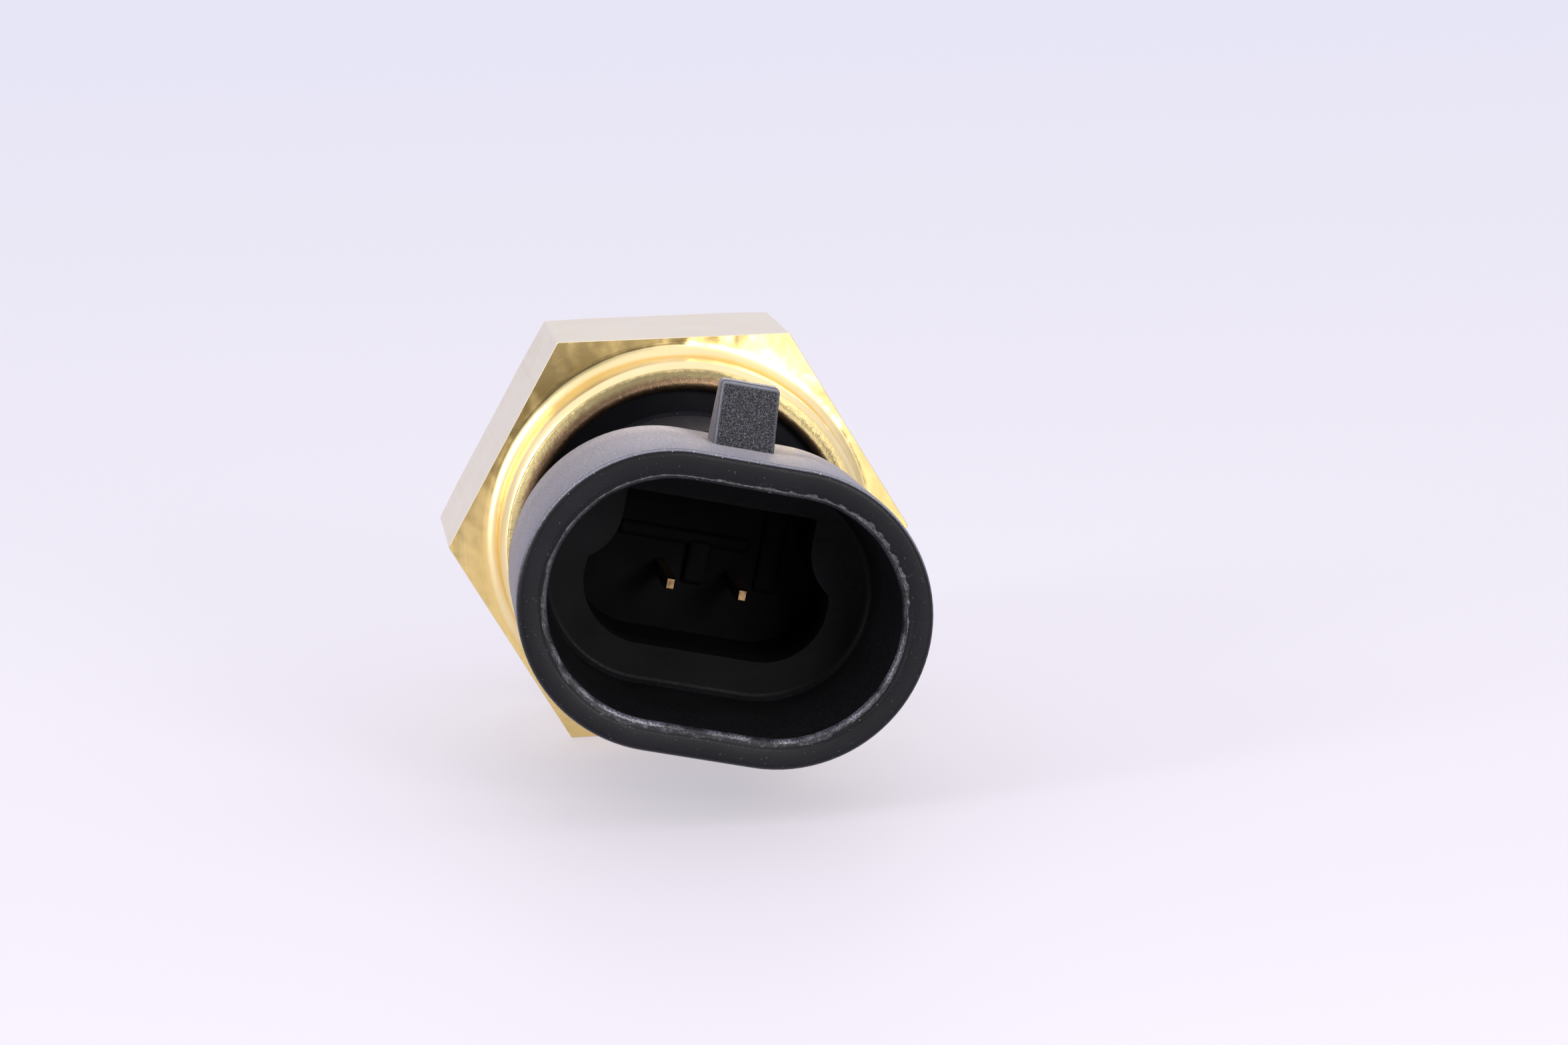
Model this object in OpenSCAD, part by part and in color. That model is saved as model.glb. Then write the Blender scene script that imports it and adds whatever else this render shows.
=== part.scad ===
// Pressure switch with a brass hexagon body, a crimped connector and a snap-disc mechanism.
// Inside the modules, z runs along the switch from the thread (negative) to the connector's mouth
// (positive), and z = 0 is the shoulder that seats on the port. placed() then lays the switch on a
// flat of its hexagon, with the mouth towards -Y and the thread towards +Y.

/* [Brass body] */
// Across the flats of the hexagon
hex_af = 27; // [26.6:0.1:28]
// Length of the body from the shoulder to the hexagon's front face
hex_h = 13; // [13:0.1:14]
// Height of the crimp collar above the hexagon's front face
collar_h = 4.4; // [4.4:0.1:4.8]
// Radius of the collar at its foot
collar_r = 13; // [12.9:0.05:13.1]
// Inner radius of the crimped lip
lip_r = 10.5; // [10.3:0.1:10.7]

/* [Thread and port] */
// Major diameter of the mounting thread
thread_d = 14; // [14:0.1:14.4]
// Length of the threaded end beyond the shoulder
thread_l = 11; // [10:0.5:14]
// Diameter of the pressure port
port_d = 3.5; // [3:0.1:4]
// Diameter of the restrictor's orifice
orifice_d = 0.8; // [0.4:0.1:1.2]

/* [Connector] */
// Turn of the connector about the switch's axis, against the hexagon, in degrees
connector_turn = -12.4; // [-30:0.2:30]
// Length of the plastic from the hexagon's front face to the mouth
connector_l = 27; // [26:0.5:30]
// Width of the oval shroud
shroud_w = 25.8; // [25.4:0.1:26.2]
// Height of the oval shroud
shroud_h = 18.9; // [18.5:0.1:19.3]
// Depth of the oval shroud from its mouth to its back
shroud_depth = 12.3; // [11.8:0.1:12.8]
// Wall of the oval shroud
shroud_wall = 1.8; // [1.6:0.05:1.9]
// Depth of the ledge below the mouth
ledge_depth = 10.1; // [9.6:0.1:10.4]
// Depth of the socket's floor below the mouth
floor_depth = 17; // [16:0.5:18]
// Radius of the round neck where it meets the crimp
neck_r = 8.7; // [8.5:0.1:9]

/* [Terminals] */
// Distance between the two terminal pins
pin_pitch = 4.65; // [4.4:0.05:5]
// Width of a terminal pin
pin_w = 0.64; // [0.6:0.01:0.7]
// Thickness of a terminal pin
pin_t = 0.8; // [0.7:0.05:0.9]

/* [Switching] */
// Gap between the contacts with no pressure
contact_gap = 0.6; // [0.5:0.05:0.7]
// Rise of the snap disc's middle below its rim
disc_rise = 0.45; // [0.4:0.01:0.5]

/* [Hidden] */
$fn = 96;

fit = 0.02;          // gap between pieces that rest on each other
run = 0.05;          // radial clearance of a piece that slides
cut = 0.5;           // how far a cutting shape runs past a face
overlap = 0.2;       // how far shapes that are one piece run into each other

// Colours
BRASS = "#d9b548";
BLACK = "#26272c";
STEEL = "#b4b7ba";
RUBBER = "#1d1f20";

// Heights of the stack, from the port to the connector
shoulder_step = 0.4;                      // washer face stands proud of the hexagon
shoulder_r = 12.6;
chamfer_r = 14.4;                         // where the chamfer starts on the hexagon's rear face
thread_chamfer = 1;
relief_r = 5.9;                           // thread relief, under the shoulder
relief_l = 2.4;
oring_recess_r = 8.4;
restrictor_r = 2.4;
restrictor_z = -1;
restrictor_l = 3.4;
groove_in_r = 5.6;                        // groove of the diaphragm's O-ring
groove_out_r = 7.6;
groove_depth = 1.5;
film_oring_minor = 0.74;
port_oring_minor = 1.08;
film_r = 8.9;
recess_h = 0.3;                           // recess in the washer face for the port's O-ring
chamber_z = 3.2;                          // floor of the pressure chamber
chamber_r = 9.2;
stack_r = chamber_r - 0.1;                // outer radius of the pieces in the chamber
film_t = 0.2;
guide_z = chamber_z + film_t + fit;       // underside of the piston guide ring
guide_t = 2;
seat_z = guide_z + guide_t + fit;         // underside of the disc seat ring
seat_t = 2.2;
seat_base_t = 1.2;
seat_slope = 0.12;
disc_z = seat_z + seat_base_t;            // where the disc's rim rests
disc_r = 8;
disc_t = 0.25;
seat_bore_r = disc_r - 0.6;
seat_wall_r = disc_r + 0.3;
keeper_r = disc_r + 0.2;                  // lip that keeps the disc's rim on its seat
keeper_w = 0.6;
keeper_gap = 0.1;
pin_guide_z = seat_z + seat_t + fit;
pin_guide_t = 1.6;
guide_boss_r = 2.2;
guide_boss_h = 1.2;
sleeve_z = pin_guide_z + pin_guide_t + fit;
flange_z = hex_h + fit;                   // underside of the connector's flange
flange_r = 11.3;
flange_t = 3.2;
flange_bevel = 0.3;
bore_r = flange_r + 0.1;                  // recess that the flange drops into
seal_bore_r = 9.9;
seal_depth = 1.4;
seal_minor = 0.62;
collar_top = hex_h + collar_h;
lip_z = flange_z + flange_t + 0.05;       // underside of the rolled lip

// Connector heights
mouth_z = hex_h + connector_l;
shroud_z = mouth_z - shroud_depth;
ledge_z = mouth_z - ledge_depth;
floor_z = mouth_z - floor_depth;
pin_tip_z = ledge_z - 0.1;
taper_l = 0.4;                            // tapered end of a pin
taper_w = 0.1;
neck_top_r = neck_r + 0.6;
pin_y = -0.55;                            // the pins lie a little below the shroud's middle

// Keyed socket below the ledge
slot_w = 15.76;
slot_h = 8.16;
key_w = 12.24;
key_top = 5.08;
key_foot = -0.2;                          // where the key's flares meet the slot's ends
flare_r = 3.6;

// Lock ramp on top of the shroud
ramp_w = 3.9;
ramp_h = 3.65;
ramp_foot_depth = 5.6;                    // below the mouth
ramp_run = 2;                             // how far back the sloping face reaches
ramp_back_depth = 9.2;

// Space under the flange for the contacts
pocket_r = 7.6;
pocket_top = flange_z + 4.2;
potting_t = 1.6;
foot_top = pocket_top - potting_t;        // top of the terminals' feet
foot_t = 0.6;
foot_w = 2.6;
foot_reach = 7;                           // how far a foot reaches from the middle
foot_inset = 0.3;                         // how far a foot runs past its pin
foot_z = foot_top - foot_t;
contact_h = 0.4;
contact_r = 1.1;
contact_x = 4.6;
stem_r = 0.5;                             // stem that holds the moving contact in the arm
arm_t = 0.2;
arm_w = 2.2;
arm_margin = 0.3;                         // strip of the arm beyond the contact
arm_top = foot_z - 2 * contact_h - contact_gap;
arm_z = arm_top - arm_t;
bend_x = -4.4;                            // line at which the arm bends
rivet_x = (bend_x - foot_reach) / 2;
rivet_r = 0.6;
rivet_head_r = 0.95;
rivet_head_t = 0.4;

// Moving pieces
piston_r = 3;
piston_tip_r = 1.2;
disc_low = disc_z - disc_rise;            // underside of the disc's middle
push_pin_r = 1;
push_pin_chamfer = 0.3;
tip_r = 0.35;
tip_l = 0.7;
cone_l = 0.5;                             // cone between the pin's shank and its tip

// Lays the switch down: z becomes -Y, and y becomes +Z.
module placed() { rotate([90, 0, 0]) children(); }

// Turns a piece with the connector.
module turned() { placed() rotate([0, 0, connector_turn]) children(); }

module disc(r, z, t) { translate([0, 0, z]) cylinder(r = r, h = t); }

module ring(r, bore, z, t) {
    difference() {
        disc(r, z, t);
        disc(bore, z - cut, t + 2 * cut);
    }
}

module torus(major, minor, z) {
    translate([0, 0, z]) rotate_extrude() translate([major, 0]) circle(r = minor, $fn = 32);
}

module block(x0, x1, y0, y1, z0, z1) {
    translate([x0, y0, z0]) cube([x1 - x0, y1 - y0, z1 - z0]);
}

// Flat oval outline: two round ends joined by straight sides.
module oval(w, h) {
    end_x = (w - h) / 2;
    square([w - h, h], center = true);
    for (side = [-1, 1]) translate([side * end_x, 0]) circle(d = h);
}

// Corner between the key's side and the slot's end, hollowed by an arc.
module key_flare() {
    half = key_w / 2;
    reach = slot_w / 2 - 0.15 - half;
    difference() {
        translate([half - 0.1, key_foot - 1]) square([reach + 0.1, 1 + flare_r]);
        translate([half + flare_r, key_foot + flare_r]) circle(r = flare_r);
    }
}

module socket_outline() {
    translate([0, pin_y]) oval(slot_w, slot_h);
    translate([-key_w / 2, pin_y]) square([key_w, key_top - pin_y]);
    for (side = [0, 1]) mirror([side, 0]) key_flare();
}

module hexagon(af, z, h) {
    translate([0, 0, z]) cylinder(r = af / sqrt(3), h = h, $fn = 6);
}

// Half of the collar's section, from its foot on the hexagon to the rolled lip.
module collar_section() {
    polygon([[lip_r, lip_z], [bore_r, lip_z - 0.3], [bore_r, hex_h - 1], [collar_r + 0.3, hex_h - 1],
             [collar_r + 0.3, hex_h], [collar_r - 0.1, hex_h + 0.2], [collar_r - 0.35, hex_h + 0.6],
             [collar_r - 0.5, hex_h + 2.9], [collar_r - 0.75, collar_top - 0.8],
             [collar_r - 1.15, collar_top - 0.4], [collar_r - 1.9, collar_top - 0.1],
             [lip_r + 0.2, collar_top], [lip_r, collar_top - 0.25]]);
}

module hex_body() {
    color(BRASS) placed() difference() {
        union() {
            intersection() {
                hexagon(hex_af, shoulder_step, hex_h - shoulder_step);
                translate([0, 0, shoulder_step])
                    cylinder(r1 = chamfer_r, r2 = chamfer_r + 2 * hex_h, h = hex_h);
            }
            disc(shoulder_r, 0, shoulder_step + cut);
            disc(thread_d / 2, thread_chamfer - thread_l, thread_l);
            translate([0, 0, -thread_l])
                cylinder(r1 = thread_d / 2 - thread_chamfer, r2 = thread_d / 2, h = thread_chamfer);
            rotate_extrude() collar_section();
        }
        // thread relief, and the recess for the port's O-ring
        ring(oring_recess_r, relief_r, -relief_l, relief_l + recess_h);
        // pressure port, and the seat of the restrictor
        disc(port_d / 2, -thread_l - cut, thread_l + chamber_z);
        disc(restrictor_r, restrictor_z, chamber_z - restrictor_z + cut);
        // groove for the diaphragm's O-ring
        ring(groove_out_r, groove_in_r, chamber_z - groove_depth, groove_depth + cut);
        // chamber, and groove for the flange's seal
        disc(chamber_r, chamber_z, hex_h);
        ring(bore_r, seal_bore_r, hex_h - seal_depth, seal_depth + fit / 2);
    }
}

// Seen from the side, the ramp rises from the mouth's side to a flat crest and drops square.
module lock_ramp() {
    foot = shroud_h / 2 - 1;
    crest = shroud_h / 2 + ramp_h;
    translate([-ramp_w / 2, 0, 0]) rotate([90, 0, 90]) linear_extrude(ramp_w)
        polygon([[foot, mouth_z - ramp_foot_depth + 0.5], [shroud_h / 2, mouth_z - ramp_foot_depth],
                 [crest, mouth_z - ramp_foot_depth - ramp_run], [crest, mouth_z - ramp_back_depth],
                 [foot, mouth_z - ramp_back_depth]]);
}

module connector_housing() {
    color(BLACK) turned() difference() {
        union() {
            translate([0, 0, shroud_z]) linear_extrude(shroud_depth) oval(shroud_w, shroud_h);
            lock_ramp();
            translate([0, 0, flange_z + flange_t - overlap])
                cylinder(r1 = neck_r, r2 = neck_top_r, h = shroud_z - flange_z - flange_t + 2 * overlap);
            disc(flange_r, flange_z, flange_t - flange_bevel);
            translate([0, 0, flange_z + flange_t - flange_bevel])
                cylinder(r1 = flange_r, r2 = flange_r - 3 * flange_bevel, h = flange_bevel);
        }
        translate([0, 0, ledge_z]) linear_extrude(ledge_depth + cut)
            oval(shroud_w - 2 * shroud_wall, shroud_h - 2 * shroud_wall);
        translate([0, 0, floor_z]) linear_extrude(ledge_z - floor_z + cut) socket_outline();
        disc(pocket_r, flange_z - cut, pocket_top - flange_z + cut);
        for (side = [-1, 1]) pin_shape(side, fit, pocket_top - cut, floor_z + cut);
    }
}

module pin_shape(side, gap, z0, z1) {
    x = side * pin_pitch / 2;
    block(x - pin_w / 2 - gap, x + pin_w / 2 + gap, pin_y - pin_t / 2 - gap, pin_y + pin_t / 2 + gap,
          z0, z1);
}

// A straight pin with a square taper at its tip, on a flat foot that lies under the potting.
module terminal(side) {
    x = side * pin_pitch / 2;
    inner = x - side * (pin_w / 2 + foot_inset);
    outer = side * foot_reach;
    color(BRASS) turned() {
        pin_shape(side, 0, foot_z, pin_tip_z - taper_l);
        translate([x, pin_y, pin_tip_z - taper_l]) pin_tip();
        difference() {
            block(min(inner, outer), max(inner, outer), -foot_w / 2, foot_w / 2, foot_z, foot_top);
            if (side < 0) translate([rivet_x, 0, 0]) disc(rivet_r, foot_z - cut, foot_t + 2 * cut);
        }
    }
}

module pin_tip() {
    tip_w = pin_w / 2 - taper_w;
    tip_t = pin_t / 2 - taper_w;
    intersection() {
        translate([0, pin_t / 2, 0]) rotate([90, 0, 0]) linear_extrude(pin_t)
            polygon([[-pin_w / 2, 0], [pin_w / 2, 0], [tip_w, taper_l], [-tip_w, taper_l]]);
        translate([-pin_w / 2, 0, 0]) rotate([90, 0, 90]) linear_extrude(pin_w)
            polygon([[-pin_t / 2, 0], [pin_t / 2, 0], [tip_t, taper_l], [-tip_t, taper_l]]);
    }
}

module terminal_left() { terminal(-1); }

module terminal_right() { terminal(1); }

module terminal_potting() {
    color("#3a2f26") turned() difference() {
        disc(pocket_r - fit, foot_top + fit, potting_t - 2 * fit);
        for (side = [-1, 1]) pin_shape(side, fit, foot_top - cut, pocket_top + cut);
    }
}

module flange_seal_ring() {
    color(RUBBER) placed() torus((bore_r + seal_bore_r) / 2, seal_minor, hex_h - seal_depth / 2);
}

module spacer_sleeve() {
    color("#d8d4c4") placed() ring(stack_r, pocket_r, sleeve_z, flange_z - fit - sleeve_z);
}

module pin_guide() {
    color(STEEL) placed() difference() {
        union() {
            disc(stack_r, pin_guide_z, pin_guide_t);
            disc(guide_boss_r, pin_guide_z, pin_guide_t + guide_boss_h);
            ring(keeper_r, keeper_r - keeper_w, disc_z + disc_t + keeper_gap, pin_guide_z - disc_z);
        }
        disc(push_pin_r + run, pin_guide_z - cut, pin_guide_t + guide_boss_h + 2 * cut);
    }
}

module actuating_pin() {
    bottom = disc_low + disc_t + fit;
    tip_z = arm_z - fit - tip_l;
    color("white") placed() {
        disc(push_pin_r, bottom + push_pin_chamfer, tip_z - bottom - push_pin_chamfer);
        translate([0, 0, bottom])
            cylinder(r1 = push_pin_r - push_pin_chamfer, r2 = push_pin_r, h = push_pin_chamfer);
        translate([0, 0, tip_z]) cylinder(r1 = push_pin_r, r2 = tip_r + run, h = cone_l);
        disc(tip_r, tip_z, tip_l);
    }
}

// Height of the disc's underside at radius r: a shallow dome, lowest in the middle.
function disc_under(r) = disc_low + disc_rise * pow(r / disc_r, 2);

module snap_disc() {
    steps = 10;
    radii = [for (i = [0:steps]) disc_r * i / steps];
    under = [for (r = radii) [r, disc_under(r)]];
    over = [for (i = [steps:-1:0]) [radii[i], disc_under(radii[i]) + disc_t]];
    color(STEEL) placed() rotate_extrude() polygon(concat(under, over));
}

// The seat slopes away under the domed disc, so that only the disc's rim bears on it.
module disc_seat_ring() {
    color(STEEL) placed() difference() {
        ring(stack_r, seat_bore_r, seat_z, seat_t);
        disc(seat_wall_r, disc_z, seat_t);
        translate([0, 0, disc_z - seat_slope])
            cylinder(r1 = seat_bore_r - 0.1, r2 = seat_wall_r, h = seat_slope + fit / 2);
    }
}

module force_piston() {
    color("#c9ccd0") placed() {
        disc(piston_r, guide_z, guide_t - 0.1);
        disc(piston_tip_r, guide_z, disc_low - fit - guide_z);
    }
}

module piston_guide_ring() {
    color(STEEL) placed() ring(stack_r, piston_r + run, guide_z, guide_t);
}

module diaphragm() {
    color("#c77a1e") placed() disc(film_r, chamber_z + fit / 2, film_t);
}

module diaphragm_oring() {
    color(RUBBER) placed()
        torus((groove_in_r + groove_out_r) / 2, film_oring_minor, chamber_z - groove_depth / 2);
}

module port_restrictor() {
    color(BRASS) placed()
        ring(restrictor_r - fit / 2, orifice_d / 2, restrictor_z + fit, restrictor_l);
}

module port_oring() {
    minor = port_oring_minor;
    color(RUBBER) placed() torus(relief_r + minor + 2 * fit, minor, recess_h - minor - fit);
}

module arm_spacer() {
    color(BRASS) turned() difference() {
        block(-foot_reach, bend_x, -foot_w / 2, foot_w / 2, arm_top + fit, foot_z - fit);
        translate([rivet_x, 0, 0]) disc(rivet_r, arm_top - cut, foot_z);
    }
}

module arm_root() {
    color("#c98a4b") turned() difference() {
        block(-foot_reach, bend_x - fit, -arm_w / 2, arm_w / 2, arm_z, arm_top);
        translate([rivet_x, 0, 0]) disc(rivet_r, arm_z - cut, arm_t + 2 * cut);
    }
}

module arm_rivet() {
    color(BRASS) turned() translate([rivet_x, 0, 0]) {
        disc(rivet_r - fit, arm_z - overlap, foot_top - arm_z + overlap);
        disc(rivet_head_r, arm_z - rivet_head_t, rivet_head_t - fit);
    }
}

module contact_arm() {
    color("#c98a4b") turned() difference() {
        block(bend_x + fit, contact_x + contact_r + arm_margin, -arm_w / 2, arm_w / 2, arm_z, arm_top);
        translate([contact_x, 0, 0]) disc(stem_r, arm_z - cut, arm_t + 2 * cut);
    }
}

module moving_contact() {
    color("silver") turned() translate([contact_x, 0, 0]) {
        disc(contact_r, arm_top + fit, contact_h);
        disc(stem_r - fit, arm_z, arm_t + 2 * fit);
    }
}

module fixed_contact() {
    color("silver") turned() translate([contact_x, 0, 0])
        disc(contact_r, foot_z - fit - contact_h, contact_h);
}

hex_body();
connector_housing();
terminal_left();
terminal_right();
terminal_potting();
flange_seal_ring();
spacer_sleeve();
pin_guide();
actuating_pin();
snap_disc();
disc_seat_ring();
force_piston();
piston_guide_ring();
diaphragm();
diaphragm_oring();
port_restrictor();
port_oring();
arm_spacer();
arm_root();
arm_rivet();
contact_arm();
moving_contact();
fixed_contact();
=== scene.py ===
"""Pressure switch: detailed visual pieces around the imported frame, with procedural materials.

Shapes are worked out in millimetres in the switch's own axes: z runs from the thread towards the
connector's mouth and z = 0 is the seating shoulder. row() turns them into the frame's metres.
"""
import math
import random

import bmesh
import bpy
from mathutils import Matrix, Vector, noise


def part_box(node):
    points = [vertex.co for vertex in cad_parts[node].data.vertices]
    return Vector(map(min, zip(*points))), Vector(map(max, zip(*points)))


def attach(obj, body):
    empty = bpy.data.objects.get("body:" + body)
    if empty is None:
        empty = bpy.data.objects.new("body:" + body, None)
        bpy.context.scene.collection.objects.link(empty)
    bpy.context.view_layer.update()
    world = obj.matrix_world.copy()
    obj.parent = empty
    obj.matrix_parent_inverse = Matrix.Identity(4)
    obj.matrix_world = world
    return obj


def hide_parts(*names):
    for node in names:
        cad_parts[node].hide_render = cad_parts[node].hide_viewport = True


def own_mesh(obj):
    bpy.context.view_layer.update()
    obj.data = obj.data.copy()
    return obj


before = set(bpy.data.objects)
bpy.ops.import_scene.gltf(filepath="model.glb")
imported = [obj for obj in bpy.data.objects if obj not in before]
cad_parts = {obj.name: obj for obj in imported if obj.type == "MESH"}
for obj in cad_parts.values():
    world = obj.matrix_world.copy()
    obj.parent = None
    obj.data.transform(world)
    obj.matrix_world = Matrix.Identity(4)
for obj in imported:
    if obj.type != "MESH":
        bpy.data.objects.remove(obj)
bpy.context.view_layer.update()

MM = 0.001
TURN = math.radians(-12.4)        # turn of the connector against the hexagon

# Sizes that come from the frame, in millimetres
BODY_LOW, BODY_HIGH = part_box("hex_body")
HOUSING_LOW, HOUSING_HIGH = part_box("connector_housing")
APOTHEM = BODY_HIGH.z / MM
THREAD_END = -BODY_HIGH.y / MM
COLLAR_TOP = -BODY_LOW.y / MM
MOUTH = -HOUSING_LOW.y / MM
FLANGE = -HOUSING_HIGH.y / MM
FLOOR_HEIGHT = BODY_LOW.z

# Brass body
HEX_FRONT = COLLAR_TOP - 4.4
CORNER_R = 0.18                   # rounding of the hexagon's corners
EDGE = 0.05                       # broken edge between the hexagon's front and sides
STEP = 0.4                        # washer face, proud of the hexagon's rear
WASHER_R = 12.6
CHAMFER_R = 14.4
CHAMFER_RUN = 2                   # how far the rear chamfer runs out for each step back
COLLAR_R = 13.34                  # where the collar's cove meets the hexagon's front
COVE_R = 1.05
SHOULDER_R = 0.96
CREST_R = 0.48
LIP_R = 10.5
SEAL_R = 8.4                      # recess of the port's O-ring
SEAL_DEPTH = 0.3
THREAD_R = 7.0
PITCH = 1.5
RELIEF_R = 5.9
RELIEF_END = -2.4
PORT_R = 1.75
RESTRICTOR_R = 2.4
RESTRICTOR_SEAT = -1.0
CHAMBER_FLOOR = 3.2
GROOVE = (5.6, 7.6)               # radii of the groove for the diaphragm's O-ring
GROOVE_FLOOR = 1.7
STACK_R = 9.2
SLEEVE_R = 9.9
SLEEVE_SEAT = HEX_FRONT - 1.4
RECESS_R = 11.4                   # recess of the connector's flange

# Connector
STRAIGHT = 3.45                   # half the straight stretch of every oval
OUTER_R = 9.40
BACK_R = 9.12
BACK = MOUTH - 12.3
LEDGE = MOUTH - 10.1
SOCKET_FLOOR = MOUTH - 17.0
LIP_ROUND = 0.42
STEP_R = 8.06                     # edge of the step inside the rim
STEP_DEPTH = 0.16
INNER_R = 7.56
TREAD_R = INNER_R + 0.24          # inner edge of the flat that the step leaves
LEDGE_R = 7.02
FLANGE_R = 11.28
NECK_R = 8.7
NECK_TOP_R = 9.3
POCKET_R = 7.6
POCKET_DEPTH = 4.2
PIN_X = 2.325
PIN_Y = -0.55
PIN_HOLE = (0.34, 0.42)           # half its width and half its height
SLOT_W = 15.76
SLOT_H = 8.16
SLOT_END = 14                     # where the slot's round ends stop, in degrees above level
KEY_W = 12.24
KEY_TOP = 5.08
KEY_FOOT = -0.2
KEY_CHAMFER = 0.15
FLARE_R = 3.6
# raised blocks on the socket's floor: left, right, bottom, top and height
FLOOR_BLOCKS = ((-5.4, 3.2, 1.15, 2.05, 0.5),     # a bar above the pins
                (-0.75, 0.75, -1.3, 1.5, 0.7),    # a wall between them
                (3.9, 5.4, -1.2, 4.6, 0.5))       # one at the right
RAMP_W = 3.9
RAMP_SUNK = 8.2                   # height at which the ramp's foot lies inside the shroud
RAMP_TOP = 9.45 + 3.65            # it stands 3.65 above the shroud
RAMP_FOOT = MOUTH - 5.6
RAMP_CREST = RAMP_FOOT - 2.0
RAMP_BACK = MOUTH - 9.2
RIDGE_SLANT = math.radians(-35)   # slant of the ridges on the ramp's face
SEAM_HEIGHT = 0.9                 # height of the mould's seam on the shroud's ends
SEAM_RISE = 0.0035                # as a share of the shroud's size
STEP_WANDER = 0.005               # unevenness of the step, as a share of the shroud's size
LOWER_FLASH = math.radians(-100)  # where on the rim the flash is heaviest
UPPER_FLASH = math.radians(38)
FLAKES = 150                      # loose flakes of flash on the rim
FLAKE_SIDES = 6
FLAKE_SEED = 7
# a low share darkens the neck behind the shroud as painted shade
NECK_DUST_AND_SHEEN = 0.08                  # dust on the neck, as a share of the shroud's

# Snap disc inside the body
DISC_T = 0.25
DISC_RINGS = 24
TRAVEL = 0.235                    # how far the piston pushes the disc's middle


# ---------------------------------------------------------------- geometry helpers
def row(x, y, z, turn=0.0):
    """A point in the switch's axes, in millimetres, as a point in the frame, in metres."""
    c = math.cos(turn)
    s = math.sin(turn)
    return Vector(((c * x - s * y) * MM, -z * MM, (s * x + c * y) * MM))


def smoothed(mesh, angle=32):
    """Smooth shading, with edges sharper than the angle kept crisp."""
    bm = bmesh.new()
    bm.from_mesh(mesh)
    bmesh.ops.remove_doubles(bm, verts=bm.verts, dist=1e-7)
    bmesh.ops.dissolve_degenerate(bm, edges=bm.edges, dist=1e-7)
    bmesh.ops.recalc_face_normals(bm, faces=bm.faces)
    for face in bm.faces:
        face.smooth = True
    for edge in bm.edges:
        edge.smooth = len(edge.link_faces) == 2 and edge.calc_face_angle(0) < math.radians(angle)
    bm.to_mesh(mesh)
    bm.free()


def new_object(name, verts, faces, tags=None):
    mesh = bpy.data.meshes.new(name)
    mesh.from_pydata([tuple(v) for v in verts], [], faces)
    if tags:
        mesh.polygons.foreach_set("material_index", tags)
    mesh.update()
    obj = bpy.data.objects.new(name, mesh)
    bpy.context.scene.collection.objects.link(obj)
    return obj


def loft(name, rings, tags=None, closed=False, turn=0.0):
    """Joins rings of equal length with quads. If closed, the last ring is joined to the first;
    otherwise both ends are capped. tags gives each band's material index."""
    count = len(rings[0])
    verts = [row(*p, turn) for ring in rings for p in ring]
    faces = []
    face_tags = []
    bands = len(rings) if closed else len(rings) - 1
    for i in range(bands):
        here = i * count
        there = (i + 1) % len(rings) * count
        for j in range(count):
            k = (j + 1) % count
            faces.append((here + j, here + k, there + k, there + j))
            face_tags.append(tags[i] if tags else 0)
    if not closed:
        last = (len(rings) - 1) * count
        faces.append(tuple(reversed(range(count))))
        faces.append(tuple(range(last, last + count)))
        face_tags += [face_tags[0], face_tags[-1]]
    return new_object(name, verts, faces, face_tags)


def circle(r, z, count=192):
    turn = 2 * math.pi / count
    return [(r * math.cos(j * turn), r * math.sin(j * turn), z) for j in range(count)]


def arc(cx, cy, r, start, end, steps):
    """Points of an arc, from one angle in degrees to another."""
    angles = [math.radians(start + (end - start) * i / steps) for i in range(steps + 1)]
    return [(cx + r * math.cos(a), cy + r * math.sin(a)) for a in angles]


def oval(r, z, half=STRAIGHT, steps=48, straight=14):
    """A flat oval: two round ends joined by straight sides. The round ends start at the middle of
    the left side, so a point's number gives its place along the rim."""
    points = []
    for side in (1, -1):
        points += [(side * (x + half), side * y) for x, y in arc(0, 0, r, -90, 90, steps)]
        points += [(side * (half - 2 * half * i / straight), side * r) for i in range(1, straight)]
    return [(x, y, z) for x, y in points]


def combine(target, other, operation):
    """Boolean of two objects, applied to the first. The second is removed."""
    mod = target.modifiers.new(operation, "BOOLEAN")
    mod.operation = operation
    mod.solver = "EXACT"
    mod.object = other
    graph = bpy.context.evaluated_depsgraph_get()
    mesh = bpy.data.meshes.new_from_object(target.evaluated_get(graph))
    target.modifiers.clear()
    target.data = mesh
    bpy.data.objects.remove(other)


def bevelled(obj, width):
    """Rounds an object's sharp edges, in its mesh."""
    mod = obj.modifiers.new("bevel", "BEVEL")
    mod.width = width * MM
    mod.segments = 4
    mod.limit_method = "ANGLE"
    graph = bpy.context.evaluated_depsgraph_get()
    mesh = bpy.data.meshes.new_from_object(obj.evaluated_get(graph))
    obj.modifiers.clear()
    obj.data = mesh
    return obj


def prism(name, outline, z0, z1):
    return loft(name, [[(x, y, z) for x, y in outline] for z in (z0, z1)], turn=TURN)


def wedge(name, side_outline, half_low, half_high):
    """A side outline of (y, z) points given a width, which may differ at the foot and the top."""
    low = min(y for y, z in side_outline)
    high = max(y for y, z in side_outline)
    rings = []
    for side in (-1, 1):
        ring = []
        for y, z in side_outline:
            half = half_low + (half_high - half_low) * (y - low) / (high - low)
            ring.append((side * half, y, z))
        rings.append(ring)
    return loft(name, rings, turn=TURN)


# ---------------------------------------------------------------- brass body
BRASS_TURNED, BRASS_DRAWN, BRASS_LIP, BRASS_SPUN = 0, 1, 2, 3


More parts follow.
